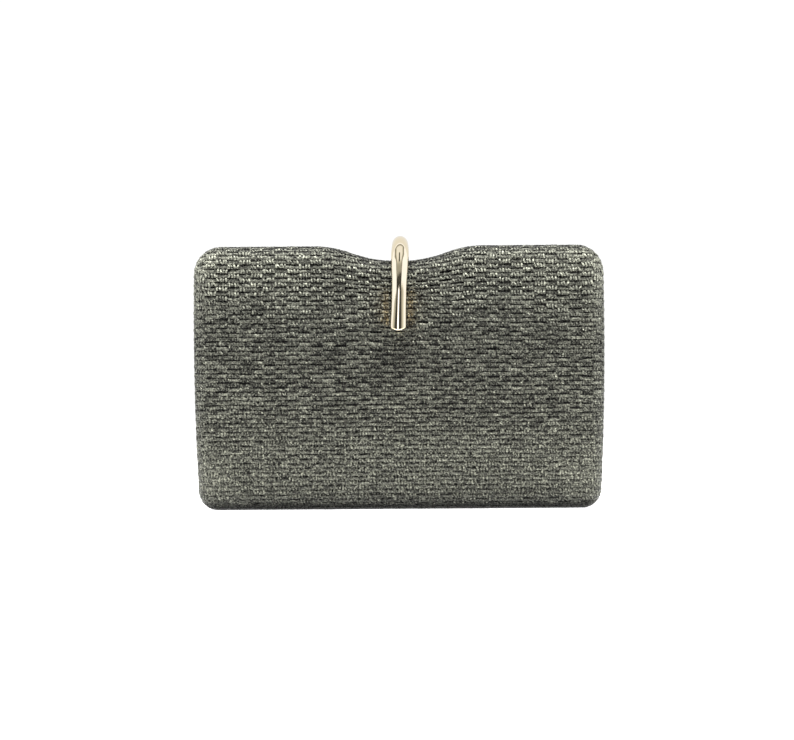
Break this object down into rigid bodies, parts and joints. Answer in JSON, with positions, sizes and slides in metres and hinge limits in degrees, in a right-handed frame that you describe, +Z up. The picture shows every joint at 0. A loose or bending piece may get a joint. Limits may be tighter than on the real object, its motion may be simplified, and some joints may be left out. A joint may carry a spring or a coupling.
{
  "type": "straw clutch",
  "caption": "Hard-case clutch bag covered in woven straw, two hollow halves hinged along the bottom, with a dip in the top edge and a bent metal bar as the clasp's lever.",
  "frame": {"origin": "on the surface the clutch stands on, under the middle of the box that holds the case and its clasp", "axes": "+Z up, the front faces -Y, +X to the viewer's right along the case's width"},
  "size_m": [0.2, 0.0498, 0.1329],
  "materials": {
    "woven_straw": "plain-woven metallic dark grey straw",
    "hinge_metal": "satin",
    "clasp_gold": "polished pale gold plate"
  },
  "bodies": {
    "back": {"back_shell": "woven_straw", "hinge_back_leaf": "hinge_metal"},
    "front": {"front_shell": "woven_straw", "hinge_front_leaf": "hinge_metal", "clasp_bracket": "clasp_gold"},
    "clasp": {"clasp_bar": "clasp_gold"}
  },
  "joints": [
    {"name": "case_hinge", "type": "hinge", "parent": "back", "child": "front", "pos_m": [0, 0.0019, 0.0019], "axis": [1, 0, 0], "range_deg": [0, 60]},
    {"name": "clasp_lift", "type": "hinge", "parent": "front", "child": "clasp", "pos_m": [0.0008, -0.0016, 0.12769], "axis": [-1, 0, 0], "range_deg": [0, 80]}
  ]
}
